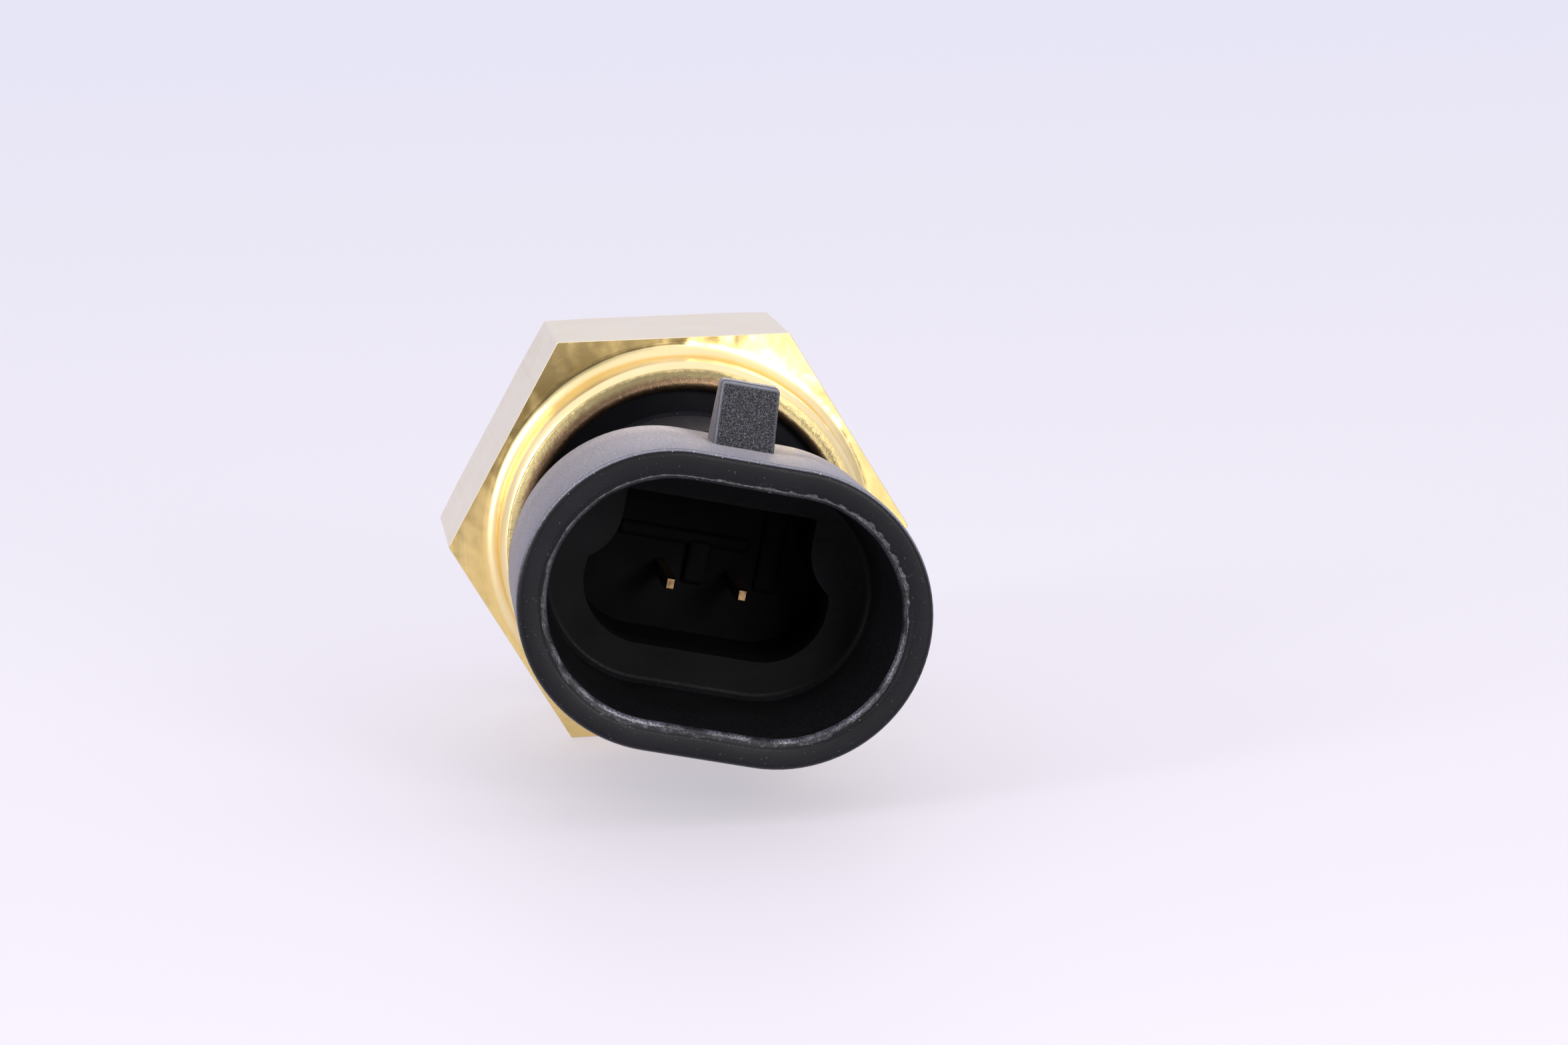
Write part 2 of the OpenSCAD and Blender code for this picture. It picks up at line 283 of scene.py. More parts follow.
def hex_angles():
    """Angles round the body, finer at the hexagon's corners."""
    fine = [math.degrees(a) for a in (0.0025, 0.005, 0.0075, 0.012)]
    angles = [i * 2.0 for i in range(180)]
    for corner in range(0, 360, 60):
        angles += [corner + side * a for a in fine for side in (-1, 1)]
    return sorted(math.radians(a % 360) for a in set(angles))


ANGLES = hex_angles()


def hex_radius(angle, inset=0.0):
    """Radius of the hexagon's outline at an angle, with its corners slightly rounded."""
    off = (angle + math.pi / 6) % (math.pi / 3) - math.pi / 6
    flat = (APOTHEM - inset) / math.cos(math.pi / 6 - abs(off))
    centre = (APOTHEM - inset - CORNER_R) / math.cos(math.pi / 6)
    reach = CORNER_R ** 2 - (centre * math.sin(off)) ** 2
    if abs(off) < math.atan2(CORNER_R / 2, centre + CORNER_R * math.cos(math.pi / 6)):
        return centre * math.cos(off) + math.sqrt(max(reach, 0.0))
    return flat


def body_ring(radius, height):
    """A ring of the body. Both values are numbers, or functions of the angle."""
    ring = []
    for a in ANGLES:
        r = radius(a) if callable(radius) else radius
        z = height(a) if callable(height) else height
        ring.append((r * math.cos(a), r * math.sin(a), z))
    return ring


def collar_profile():
    """Section of the crimped collar, from its foot on the hexagon to the rolled lip."""
    h = HEX_FRONT
    foot = arc(COLLAR_R, h + COVE_R, COVE_R, -90, -176, 14)
    shoulder = arc(11.33, h + 3.05, SHOULDER_R, 2, 55, 10)
    crest = arc(LIP_R + CREST_R, h + 3.92, CREST_R, 78, 175, 10)
    top = [(11.84, h + 3.98), (11.6, h + 4.14), (11.35, h + 4.27)] + crest
    return foot, shoulder, top


def rear_chamfer(angle):
    """Height of the hexagon's rear edge, which the chamfer cuts back at the corners."""
    return STEP + max(0.0, (hex_radius(angle) - CHAMFER_R) / CHAMFER_RUN)


def hexagon_rings():
    """Rings of the hexagon, each with the material of the band that follows it."""
    rings = [(body_ring(COLLAR_R, HEX_FRONT), BRASS_TURNED),
             (body_ring(lambda a: hex_radius(a, EDGE), HEX_FRONT), BRASS_DRAWN),
             (body_ring(hex_radius, HEX_FRONT - EDGE), BRASS_DRAWN)]
    low = 1.0    # just in front of the rear chamfer
    for part in (0.25, 0.5, 0.75):
        rings.append((body_ring(hex_radius, HEX_FRONT * (1 - part) + low * part), BRASS_DRAWN))
    rings.append((body_ring(hex_radius, rear_chamfer), BRASS_TURNED))
    rings.append((body_ring(lambda a: min(hex_radius(a), CHAMFER_R), STEP), BRASS_TURNED))
    return rings


def turned_profile():
    """Section of the turned faces behind and inside the hexagon, as (radius, height)."""
    washer = [(WASHER_R + 0.3, STEP), (WASHER_R + 0.02, STEP - 0.05), (WASHER_R, 0.06),
              (WASHER_R - 0.06, 0.0)]
    seal = [(SEAL_R + 0.05, 0.0), (SEAL_R, 0.05), (SEAL_R, SEAL_DEPTH), (RELIEF_R + 0.3, SEAL_DEPTH)]
    relief = [(RELIEF_R, 0.0), (RELIEF_R, RELIEF_END + 0.5), (THREAD_R, RELIEF_END - 0.3)]
    thread_end = [(THREAD_R, THREAD_END + 1.0), (THREAD_R - 1.0, THREAD_END), (PORT_R + 0.35, THREAD_END),
                  (PORT_R, THREAD_END + 0.35)]
    port = [(PORT_R, RESTRICTOR_SEAT), (RESTRICTOR_R, RESTRICTOR_SEAT), (RESTRICTOR_R, CHAMBER_FLOOR)]
    groove = [(GROOVE[0], CHAMBER_FLOOR), (GROOVE[0], GROOVE_FLOOR), (GROOVE[1], GROOVE_FLOOR),
              (GROOVE[1], CHAMBER_FLOOR)]
    stack = [(STACK_R, CHAMBER_FLOOR), (STACK_R, SLEEVE_SEAT), (SLEEVE_R, SLEEVE_SEAT),
             (SLEEVE_R, HEX_FRONT), (SLEEVE_R + 0.02, HEX_FRONT), (RECESS_R, HEX_FRONT)]
    return washer + seal + relief + thread_end + port + groove + stack


def thread_groove():
    """The V-shaped groove of the thread, as a solid to cut away: right-handed, 60 degree flanks,
    with the proportions of a metric thread."""
    depth = 0.613 * PITCH
    clear = 0.1
    outer = (PITCH * 7 / 8) / 2 + clear * math.tan(math.radians(30))
    root = PITCH / 8
    section = [(THREAD_R + clear, outer), (THREAD_R - depth, root), (THREAD_R - depth, -root),
               (THREAD_R + clear, -outer)]
    start = THREAD_END - PITCH
    turns = (RELIEF_END + 0.2 - start) / PITCH
    steps = int(turns * 96)
    rings = []
    for i in range(steps + 1):
        a = 2 * math.pi * turns * i / steps
        z = start + PITCH * turns * i / steps
        rings.append([(r * math.cos(a), r * math.sin(a), z + dz) for r, dz in section])
    return loft("thread_groove", rings)


def brass_body():
    foot, shoulder, top = collar_profile()
    rings = hexagon_rings()
    rings += [(body_ring(r, z), BRASS_TURNED) for r, z in turned_profile()]
    # the underside of the lip, then the lip, the top, the collar's wall and its cove
    under = [(RECESS_R, HEX_FRONT + 2.97), (LIP_R, HEX_FRONT + 3.27)]
    rings += [(body_ring(r, z), BRASS_LIP) for r, z in under + top[::-1]]
    rings += [(body_ring(r, z), BRASS_SPUN) for r, z in shoulder[::-1] + foot[:3:-1]]
    rings += [(body_ring(r, z), BRASS_TURNED) for r, z in foot[3:0:-1]]
    body = loft("brass_body", [ring for ring, tag in rings], [tag for ring, tag in rings], closed=True)
    groove = thread_groove()
    for solid in (body, groove):
        smoothed(solid.data)
    combine(body, groove, "DIFFERENCE")
    smoothed(body.data)
    return body


# ---------------------------------------------------------------- connector
RAMP, INNER_SHADED, SCUFFED_HIGHLIT = 1, 2, 3    # materials of the shell, besides the plain plastic


def socket_outline():
    """The keyed slot: a flat oval with a wide key on top, flared where the two meet."""
    half = KEY_W / 2
    straight = (SLOT_W - SLOT_H) / 2
    inset = 0.15    # how far inside the slot's width the flare ends
    flare_end = math.degrees(math.acos((half + FLARE_R - SLOT_W / 2 + inset) / FLARE_R))
    lower = arc(straight, PIN_Y, SLOT_H / 2, -90, SLOT_END, 18)
    flare = arc(half + FLARE_R, KEY_FOOT + FLARE_R, FLARE_R, 180 + flare_end, 180, 8)
    right = lower + flare + [(half, KEY_TOP - KEY_CHAMFER), (half - KEY_CHAMFER, KEY_TOP)]
    return right + [(-x, y) for x, y in reversed(right)]


def shroud_profile():
    """Section of the oval shroud, from its back to the ledge inside, as (radius, height)."""
    outside = [(BACK_R - 0.25, BACK), (BACK_R - 0.07, BACK + 0.06), (BACK_R, BACK + 0.25)]
    outside += [(BACK_R + (OUTER_R - BACK_R) * f, BACK + (MOUTH - LIP_ROUND - BACK) * f)
                for f in (0.33, 0.66, 1.0)]
    lip = arc(OUTER_R - LIP_ROUND, MOUTH - LIP_ROUND, LIP_ROUND, 0, 90, 9)[1:]
    rim = [(STEP_R + 0.12, MOUTH), (STEP_R + 0.04, MOUTH - 0.03), (STEP_R - 0.04, MOUTH - 0.08),
           (STEP_R - 0.12, MOUTH - 0.13), (TREAD_R, MOUTH - STEP_DEPTH)]
    rim += arc(TREAD_R, MOUTH - 0.42, 0.26, 100, 175, 6) + [(INNER_R - 0.03, MOUTH - 0.7)]
    wall = [(INNER_R - 0.16, MOUTH - 3.0), (LEDGE_R + 0.14, LEDGE + 2.4)]
    fillet = arc(LEDGE_R - 0.38, LEDGE + 0.5, 0.5, 0, -90, 6)
    return outside + lip + rim + wall + fillet


def ragged(x, y, frequency, layer):
    """Smooth random unevenness over the mouth's plane, from about -1 to 1."""
    return noise.noise(Vector((x * frequency, y * frequency, layer)))


def moulded(points, r):
    """Raises a hair-thin seam on both ends of the oval, where the halves of the mould meet, and
    makes the step inside the rim a little uneven."""
    wander = STEP_WANDER * math.exp(-((r - STEP_R) / 0.12) ** 2)
    shaped = []
    for x, y, z in points:
        seam = math.exp(-((y - SEAM_HEIGHT) / 0.07) ** 2) if abs(x) > STRAIGHT else 0.0
        grow = 1 + wander * ragged(x, y, 0.7, 2.2)
        shaped.append((x * (grow + SEAM_RISE * seam), y * grow, z))
    return shaped


def lock_ramp():
    outline = [(RAMP_SUNK, RAMP_FOOT + 0.45), (9.2, RAMP_FOOT), (RAMP_TOP, RAMP_CREST),
               (RAMP_TOP, RAMP_BACK), (RAMP_SUNK, RAMP_BACK)]
    ramp = wedge("ramp", outline, RAMP_W / 2, RAMP_W / 2 - 0.08)
    return bevelled(ramp, 0.3)


def neck():
    flange_top = FLANGE + 3.2
    profile = [(FLANGE_R - 0.18, FLANGE), (FLANGE_R, FLANGE + 0.15), (FLANGE_R, flange_top - 0.3),
               (10.4, flange_top), (NECK_R + 0.25, flange_top), (NECK_R, flange_top + 0.25),
               (NECK_TOP_R, BACK + 0.1), (NECK_TOP_R - 0.5, BACK + 0.3)]
    return loft("neck", [circle(r, z) for r, z in profile], turn=TURN)


def housing():
    """The connector's plastic: cup, ramp, neck and flange, less the socket and the pocket."""
    shell = loft("connector_shell", [moulded(oval(r, z), r) for r, z in shroud_profile()], turn=TURN)
    smoothed(shell.data)
    for piece in (lock_ramp(), neck()):
        smoothed(piece.data)
        combine(shell, piece, "UNION")
    pocket = [circle(POCKET_R, FLANGE - 1), circle(POCKET_R, FLANGE + POCKET_DEPTH)]
    cuts = [prism("socket", socket_outline(), SOCKET_FLOOR, LEDGE + 1), loft("pocket", pocket, turn=TURN)]
    half_w, half_t = PIN_HOLE
    for x in (-PIN_X, PIN_X):
        hole = [(x - half_w, PIN_Y - half_t), (x + half_w, PIN_Y - half_t), (x + half_w, PIN_Y + half_t),
                (x - half_w, PIN_Y + half_t)]
        cuts.append(prism("pin_hole", hole, FLANGE + 3, SOCKET_FLOOR + 0.5))
    for cutter in cuts:
        smoothed(cutter.data)
        combine(shell, cutter, "DIFFERENCE")
    for x0, x1, y0, y1, h in FLOOR_BLOCKS:
        outline = [(x0, y0), (x1, y0), (x1, y1), (x0, y1)]
        block = prism("block", outline, SOCKET_FLOOR - 0.4, SOCKET_FLOOR + h)
        combine(shell, bevelled(block, 0.28), "UNION")
    smoothed(shell.data)
    return shell


def outward(x, y):
    """The nearest point of the shroud's middle line, and the direction out from it."""
    cx = max(-STRAIGHT, min(STRAIGHT, x))
    return cx, Vector((x - cx, y, 0)).normalized()


def flash_weight(x, y):
    """How much flash there is at a place on the rim: most along the bottom and at the upper right."""
    side = math.atan2(y, x)
    bottom = max(0.0, math.cos(side - LOWER_FLASH)) ** 1.6
    upper = max(0.0, math.cos(side - UPPER_FLASH)) ** 10
    return 0.22 + 0.75 * bottom + 1.1 * upper


def rim_flash():
    """Ragged flash left by the mould on the step inside the rim, in torn patches of uneven width."""
    path = oval(TREAD_R, 0, steps=300, straight=140)
    inner, crest, edge, base = [], [], [], []
    for x, y, _ in path:
        heavy = flash_weight(x, y)
        broad = ragged(x, y, 0.5, 3.7)
        rag = ragged(x, y, 1.4, 8.1)
        tooth = ragged(x, y, 3.3, 5.9)
        torn = ragged(x, y, 9.0, 1.3)
        height = max(0.02, (0.07 + 0.10 * broad + 0.10 * rag + 0.06 * tooth + 0.03 * torn) * heavy)
        width = max(0.03, (0.22 + 0.36 * broad + 0.34 * rag + 0.16 * tooth + 0.06 * torn) * heavy)
        out = outward(x, y)[1]
        top = min(MOUTH - 0.01, MOUTH - STEP_DEPTH + height)
        back = 0.05 + 0.05 * torn
        reach = min(width, STEP_R - INNER_R + 0.45)
        inner.append((x - out.x * 0.07, y - out.y * 0.07, MOUTH - 0.45))
        crest.append((x - out.x * back, y - out.y * back, top))
        edge.append((x + out.x * reach, y + out.y * reach, min(MOUTH - 0.005, top - 0.02)))
        base.append((x + out.x * reach * 0.9, y + out.y * reach * 0.9, MOUTH - 0.32))
    return loft("rim_flash", [inner, crest, edge, base], closed=True, turn=TURN)


def flake(centre, along, across, size, seed):
    """One torn flake: a six-sided splinter, longest along the rim."""
    verts = []
    for i in range(FLAKE_SIDES):
        a = 2 * math.pi * i / FLAKE_SIDES
        rag = 0.7 + 0.6 * noise.noise(Vector((seed, i * 1.7, 0.4)))
        verts.append(centre + along * math.cos(a) * size * rag + across * math.sin(a) * size * 0.35 * rag)
    lift = Vector((0, 0, size * 0.15))
    points = [v - lift for v in verts] + [v * 0.9 + centre * 0.1 + lift for v in verts]
    n = FLAKE_SIDES
    faces = [tuple(reversed(range(n))), tuple(range(n, 2 * n))]
    faces += [(i, (i + 1) % n, (i + 1) % n + n, i + n) for i in range(n)]
    return points, faces


def rim_flakes():
    """Loose flakes and crumbs of flash that cling to the rim, thickest where the flash is."""
    rng = random.Random(FLAKE_SEED)
    path = oval(1.0, 0, steps=60, straight=40)
    verts, faces = [], []
    while len(verts) < FLAKES * FLAKE_SIDES * 2:
        x, y, _ = rng.choice(path)
        cx, out = outward(x, y)
        if rng.random() > flash_weight(x, y) * 0.75:
            continue
        r = INNER_R + 0.06 + abs(rng.gauss(0.0, 0.42))
        size = rng.uniform(0.04, 0.10) * (2.4 if rng.random() < 0.12 else 1.0)
        lean = rng.uniform(-0.7, 0.7)
        turn = Matrix.Rotation(lean, 3, "Z")
        height = MOUTH - (STEP_DEPTH + 0.01 if r < STEP_R else 0.0) - size * 0.2
        centre = Vector((cx, 0, height)) + out * min(r, OUTER_R - LIP_ROUND)
        points, sides = flake(centre, turn @ Vector((-out.y, out.x, 0)), turn @ out, size, len(verts) * 0.37)
        first = len(verts)
        verts += [(p.x, p.y, min(p.z, MOUTH - 0.002)) for p in points]
        faces += [tuple(first + i for i in side) for side in sides]
    return new_object("rim_flakes", [row(*v, TURN) for v in verts], faces)


# ---------------------------------------------------------------- inside
def snap_disc():
    """The domed spring disc, which bulges towards the piston. Also gives the height of its rim's
    lower face, and the share of its rise that is left at the end of the piston's travel."""
    low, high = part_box("snap_disc")
    rim_r = high.x / MM
    middle = -high.y / MM
    rise = -low.y / MM - DISC_T - middle
    parts = [i / DISC_RINGS for i in range(1, DISC_RINGS + 1)]
    under = [(rim_r * part, middle + rise * part ** 2) for part in parts]
    section = under + [(r, z + DISC_T) for r, z in reversed(under)]
    disc = loft("spring_disc", [circle(r, z, 96) for r, z in section])
    smoothed(disc.data)
    return disc, middle + rise, 1 - TRAVEL / rise


# ---------------------------------------------------------------- materials
def material(name, base, metallic, roughness):
    mat = bpy.data.materials.new(name)
    mat.use_nodes = True
    shader = mat.node_tree.nodes["Principled BSDF"]
    shader.inputs["Base Color"].default_value = (*base, 1.0)
    shader.inputs["Metallic"].default_value = metallic
    shader.inputs["Roughness"].default_value = roughness
    return mat, mat.node_tree, shader


def node(tree, kind, inputs=None, **settings):
    made = tree.nodes.new(kind)
    for key, value in settings.items():
        setattr(made, key, value)
    for key, value in (inputs or {}).items():
        if isinstance(value, bpy.types.NodeSocket):
            tree.links.new(value, made.inputs[key])
        else:
            made.inputs[key].default_value = value
    return made


def coordinates(tree, stretch=(1, 1, 1)):
    """Object coordinates in millimetres, stretched along each axis."""
    place = node(tree, "ShaderNodeTexCoord")
    scale = node(tree, "ShaderNodeMapping", {"Vector": place.outputs["Object"]})
    scale.inputs["Scale"].default_value = [s / MM for s in stretch]
    return scale.outputs["Vector"]


def turned_coordinates(tree):
    """Coordinates that run round the switch's axis: radius and height, but no angle."""
    parts = node(tree, "ShaderNodeSeparateXYZ", {"Vector": coordinates(tree)})
    flat = node(tree, "ShaderNodeCombineXYZ", {"X": parts.outputs["X"], "Y": parts.outputs["Z"]})
    radius = node(tree, "ShaderNodeVectorMath", {0: flat.outputs["Vector"]}, operation="LENGTH")
    both = {"X": radius.outputs["Value"], "Y": parts.outputs["Y"]}
    return node(tree, "ShaderNodeCombineXYZ", both).outputs["Vector"]


def noise_at(tree, vector, scale, detail=3.0, roughness=0.55):
    made = node(tree, "ShaderNodeTexNoise", {"Vector": vector, "Scale": scale, "Detail": detail})
    made.inputs["Roughness"].default_value = roughness
    return made.outputs["Fac"]


def spread(tree, value, low, high, to_low, to_high):
    """Maps a value from one range to another, and clamps it there."""
    made = node(tree, "ShaderNodeMapRange", {"Value": value})
    made.inputs["From Min"].default_value = low
    made.inputs["From Max"].default_value = high
    made.inputs["To Min"].default_value = to_low
    made.inputs["To Max"].default_value = to_high
    return made.outputs["Result"]


def blend_colours(tree, fac, low, high):
    """A colour between two colours; either may be another node's output."""
    made = node(tree, "ShaderNodeMix", data_type="RGBA")
    tree.links.new(fac, made.inputs["Factor"])
    for name, value in (("A", low), ("B", high)):
        socket = [s for s in made.inputs if s.name == name and s.type == "RGBA"][0]
        if isinstance(value, bpy.types.NodeSocket):
            tree.links.new(value, socket)
        else:
            socket.default_value = (*value, 1.0)
    return [s for s in made.outputs if s.type == "RGBA"][0]


def product(tree, first, second):
    made = node(tree, "ShaderNodeMath", {0: first, 1: second}, operation="MULTIPLY")
    made.use_clamp = True
    return made.outputs[0]


def bump(tree, shader, height, distance):
    """Adds relief, in millimetres, on top of what the shader already has."""
    made = node(tree, "ShaderNodeBump", {"Height": height, "Distance": distance * MM, "Strength": 1.0})
    before = shader.inputs["Normal"].links
    if before:
        tree.links.new(before[0].from_socket, made.inputs["Normal"])
    tree.links.new(made.outputs["Normal"], shader.inputs["Normal"])


def brass(name, light, dark, rough, grain, relief, direction="turned", spread_out=0.75, wave=0.16):
    """Brass with cutter lines: turned ones run round the axis, drawn ones along it. Turned lines
    spread a highlight across themselves, and wave is how uneven the surface is, in millimetres."""
    mat, tree, shader = material(name, light, 1.0, rough[0])
    if direction == "turned":
        lines = turned_coordinates(tree)
    else:
        lines = coordinates(tree, (1, 0.02, 1))
    cloud = noise_at(tree, coordinates(tree), 0.22, 4.0)
    streak = noise_at(tree, lines, grain, 5.0, 0.7)
    tint = blend_colours(tree, spread(tree, cloud, 0.3, 0.75, 0.0, 1.0), light, dark)
    marked = blend_colours(tree, spread(tree, streak, 0.55, 0.85, 0.0, 0.35), tint, [c * 0.72 for c in dark])
    tree.links.new(marked, shader.inputs["Base Color"])
    tree.links.new(spread(tree, streak, 0.3, 0.7, rough[0], rough[1]), shader.inputs["Roughness"])
    bump(tree, shader, streak, relief)
    scuff = noise_at(tree, coordinates(tree, (1, 0.35, 1)), 3.5, 6.0, 0.75)
    bump(tree, shader, scuff, relief * 0.8)
    mottle = noise_at(tree, coordinates(tree), 0.45, 1.5, 0.5)
    bump(tree, shader, mottle, wave)
    if direction == "turned":
        shader.inputs["Anisotropic"].default_value = spread_out
        shader.inputs["Anisotropic Rotation"].default_value = 0.25
        round_axis = node(tree, "ShaderNodeTangent", direction_type="RADIAL", axis="Y")
        tree.links.new(round_axis.outputs["Tangent"], shader.inputs["Tangent"])
    return mat


def crimped_brass(name):
    """The rolled lip: clean brass at its outer edge, then a duller khaki, darkened as a painted reflection
    of the dim side in front, and brown towards the plastic; paler towards the right."""
    mat, tree, shader = material(name, (0.4, 0.3, 0.15), 1.0, 0.42)
    radius = node(tree, "ShaderNodeSeparateXYZ", {"Vector": turned_coordinates(tree)}).outputs["X"]
    grain = noise_at(tree, coordinates(tree), 2.2, 5.0, 0.7)
    across = node(tree, "ShaderNodeSeparateXYZ", {"Vector": coordinates(tree)}).outputs["X"]
    paler_right = spread(tree, across, 2.0, 7.0, 0.0, 0.4)
    wander = node(tree, "ShaderNodeMath", {0: grain, 1: 0.5, 2: radius}, operation="MULTIPLY_ADD")
    place = node(tree, "ShaderNodeMath", {0: wander.outputs[0], 1: paler_right}, operation="ADD").outputs[0]
    brown, khaki, pale = (0.17, 0.11, 0.065), (0.27, 0.22, 0.11), (0.86, 0.68, 0.32)
    # khaki and brown inwards; the khaki darkening is a painted reflection of the dim side in front
    dull = blend_colours(tree, spread(tree, place, 11.5, 11.8, 0.0, 1.0), brown, khaki)
    tint = blend_colours(tree, spread(tree, place, 11.98, 12.25, 0.0, 1.0), dull, pale)
    tree.links.new(tint, shader.inputs["Base Color"])
    tree.links.new(spread(tree, grain, 0.3, 0.7, 0.34, 0.48), shader.inputs["Roughness"])
    bump(tree, shader, grain, 0.05)
    return mat


def world_up(tree):
    """How far a surface faces up, from -1 to 1."""
    facing = node(tree, "ShaderNodeNewGeometry").outputs["Normal"]
    return node(tree, "ShaderNodeSeparateXYZ", {"Vector": facing}).outputs["Z"]


def facing_along(tree):
    """How far a surface of the object faces along the switch's axis, from 0 to 1."""
    own = node(tree, "ShaderNodeTexCoord").outputs["Normal"]
    along = node(tree, "ShaderNodeSeparateXYZ", {"Vector": own}).outputs["Y"]
    return node(tree, "ShaderNodeMath", {0: along}, operation="ABSOLUTE").outputs[0]


def painted_edge_highlight(tree, low, high):
    """The rounded edges towards the mouth that face up, as a value from 0 to 1: where a highlight is
    painted.
    The face towards the mouth starts between low and high."""
    along = facing_along(tree)
    turn = product(tree, spread(tree, along, 0.25, 0.5, 0.0, 1.0), spread(tree, along, low, high, 1.0, 0.0))
    return product(tree, turn, spread(tree, world_up(tree), 0.1, 0.6, 0.0, 1.0))


def plastic(name, base, dust_and_sheen, grain, relief, specular, sheen):
    """Black moulded plastic: spark-eroded grain, faint clouding and a painted highlight on the rounded edges
    that face up. Dust lies on it in specks, and a film of dust and painted sheen lightens the sides that
    face up."""
    mat, tree, shader = material(name, base, 0.0, 0.42)
    shader.inputs["Sheen Roughness"].default_value = 0.35
    place = coordinates(tree)
    cloud = noise_at(tree, place, 0.35, 4.0)
    fine = noise_at(tree, place, grain, 2.0, 0.5)
    up = world_up(tree)
    clean = blend_colours(tree, spread(tree, cloud, 0.3, 0.7, 0.0, 1.0), base, [c * 1.5 for c in base])
    depth = node(tree, "ShaderNodeSeparateXYZ", {"Vector": place}).outputs["Y"]
    # how much dust, sheen and highlight is left: all of it on the shroud, hardly any on the neck behind it,
    # which this darkens as painted shade
    kept = spread(tree, depth, -BACK - 0.5, -BACK + 0.05, 1.0, NECK_DUST_AND_SHEEN)
    # a film of dust with painted sheen, lightening the sides that face up where the light falls
    side = product(tree, spread(tree, facing_along(tree), 0.3, 0.75, dust_and_sheen, 0.0),
                   spread(tree, up, -0.2, 0.4, 0.15, 1.0))
    dust_and_sheen_film = product(tree, product(tree, side, kept), spread(tree, fine, 0.38, 0.64, 0.2, 1.0))
    dull = blend_colours(tree, dust_and_sheen_film, clean, (0.135, 0.124, 0.140))
    # painted highlight on the rounded edges towards the mouth that face up
    edge = product(tree, painted_edge_highlight(tree, 0.55, 0.8), spread(tree, fine, 0.3, 0.6, 0.45 * dust_and_sheen, dust_and_sheen))
    marked = blend_colours(tree, product(tree, edge, kept), dull, (0.24, 0.245, 0.30))
    cells = node(tree, "ShaderNodeTexVoronoi", {"Vector": place, "Scale": 3.0, "Randomness": 1.0})
    speck = spread(tree, cells.outputs["Distance"], 0.08, 0.17, 1.0, 0.0)
    patch = spread(tree, noise_at(tree, place, 0.9, 2.0), 0.40, 0.60, 0.0, dust_and_sheen)
    scattered = product(tree, product(tree, speck, patch), kept)
    lying = product(tree, scattered, spread(tree, up, 0.3, 0.7, 0.08, 1.0))
    colour = blend_colours(tree, lying, marked, (0.55, 0.55, 0.57))
    tree.links.new(colour, shader.inputs["Base Color"])
    # the sheen is lilac at the mouth and warms towards the brass, a painted reflection of the brass
    back = spread(tree, depth, -MOUTH, -BACK, 0.0, 1.0)
    tint = blend_colours(tree, back, (0.64, 0.64, 0.77), (0.76, 0.68, 0.69))
    tree.links.new(tint, shader.inputs["Sheen Tint"])
    dust = product(tree, kept, spread(tree, fine, 0.35, 0.65, sheen * 0.35, sheen * 1.5))
    tree.links.new(dust, shader.inputs["Sheen Weight"])
    shine = spread(tree, kept, NECK_DUST_AND_SHEEN, 1.0, specular / 5, specular)
    tree.links.new(shine, shader.inputs["Specular IOR Level"])
    tree.links.new(spread(tree, fine, 0.3, 0.7, 0.37, 0.52), shader.inputs["Roughness"])
    bump(tree, shader, fine, relief)
    return mat


def ramp_plastic(name, base):
    """The ramp's coarser spark-eroded grain, in short slanting ridges with painted highlights on their tops
    and on the rounded edges that face up.
    """
    mat, tree, shader = material(name, base, 0.0, 0.42)
    shader.inputs["Specular IOR Level"].default_value = 0.3
    place = node(tree, "ShaderNodeTexCoord")
    slanted = node(tree, "ShaderNodeMapping", {"Vector": place.outputs["Object"]}, vector_type="TEXTURE")
    slanted.inputs["Rotation"].default_value = (0, RIDGE_SLANT, 0)
    slanted.inputs["Scale"].default_value = (MM / 19, MM / 19, MM / 8)
    ridges = noise_at(tree, slanted.outputs["Vector"], 1.0, 0.5, 0.5)
    # painted highlights on the ridge tops, where the relief catches the light
    ridge_highlights = blend_colours(tree, spread(tree, ridges, 0.46, 0.74, 0.0, 1.0), base, [c * 17 for c in base])
    # painted highlight on the rounded edges that face up
    tint = blend_colours(tree, painted_edge_highlight(tree, 0.62, 0.84), ridge_highlights, (0.22, 0.225, 0.27))
    tree.links.new(tint, shader.inputs["Base Color"])
    bump(tree, shader, ridges, 0.16)
    return mat


def scuffed_highlit_plastic(name, base):
    """The edge of the mouth, rubbed glossy in patches, and lighter where it faces up as a painted highlight.
    """
    mat, tree, shader = material(name, base, 0.0, 0.32)
    place = coordinates(tree)
    fibres = noise_at(tree, place, 9.0, 3.0, 0.6)
    patch = spread(tree, noise_at(tree, place, 0.45, 2.0), 0.38, 0.60, 0.1, 1.0)
    # scuffed patches, lighter where the edge faces up: a painted highlight
    marked = product(tree, patch, spread(tree, world_up(tree), -0.2, 0.5, 0.15, 1.0))
    mark = product(tree, marked, spread(tree, fibres, 0.42, 0.62, 0.1, 1.0))
    tree.links.new(blend_colours(tree, mark, base, [c * 28 for c in base]), shader.inputs["Base Color"])
    tree.links.new(spread(tree, marked, 0.0, 1.0, 0.1, 1.0), shader.inputs["Specular IOR Level"])
    bump(tree, shader, fibres, 0.045)
    return mat


def torn_plastic(name, base):
    """Torn flash: dark, with pale stressed fibres."""
    mat, tree, shader = material(name, base, 0.0, 0.36)
    place = coordinates(tree)
    fibres = noise_at(tree, place, 3.6, 5.0, 0.6)
    pale = spread(tree, fibres, 0.50, 0.72, 0.0, 1.0)
    tree.links.new(blend_colours(tree, pale, base, [c * 7 for c in base]), shader.inputs["Base Color"])
    bump(tree, shader, fibres, 0.10)
    return mat


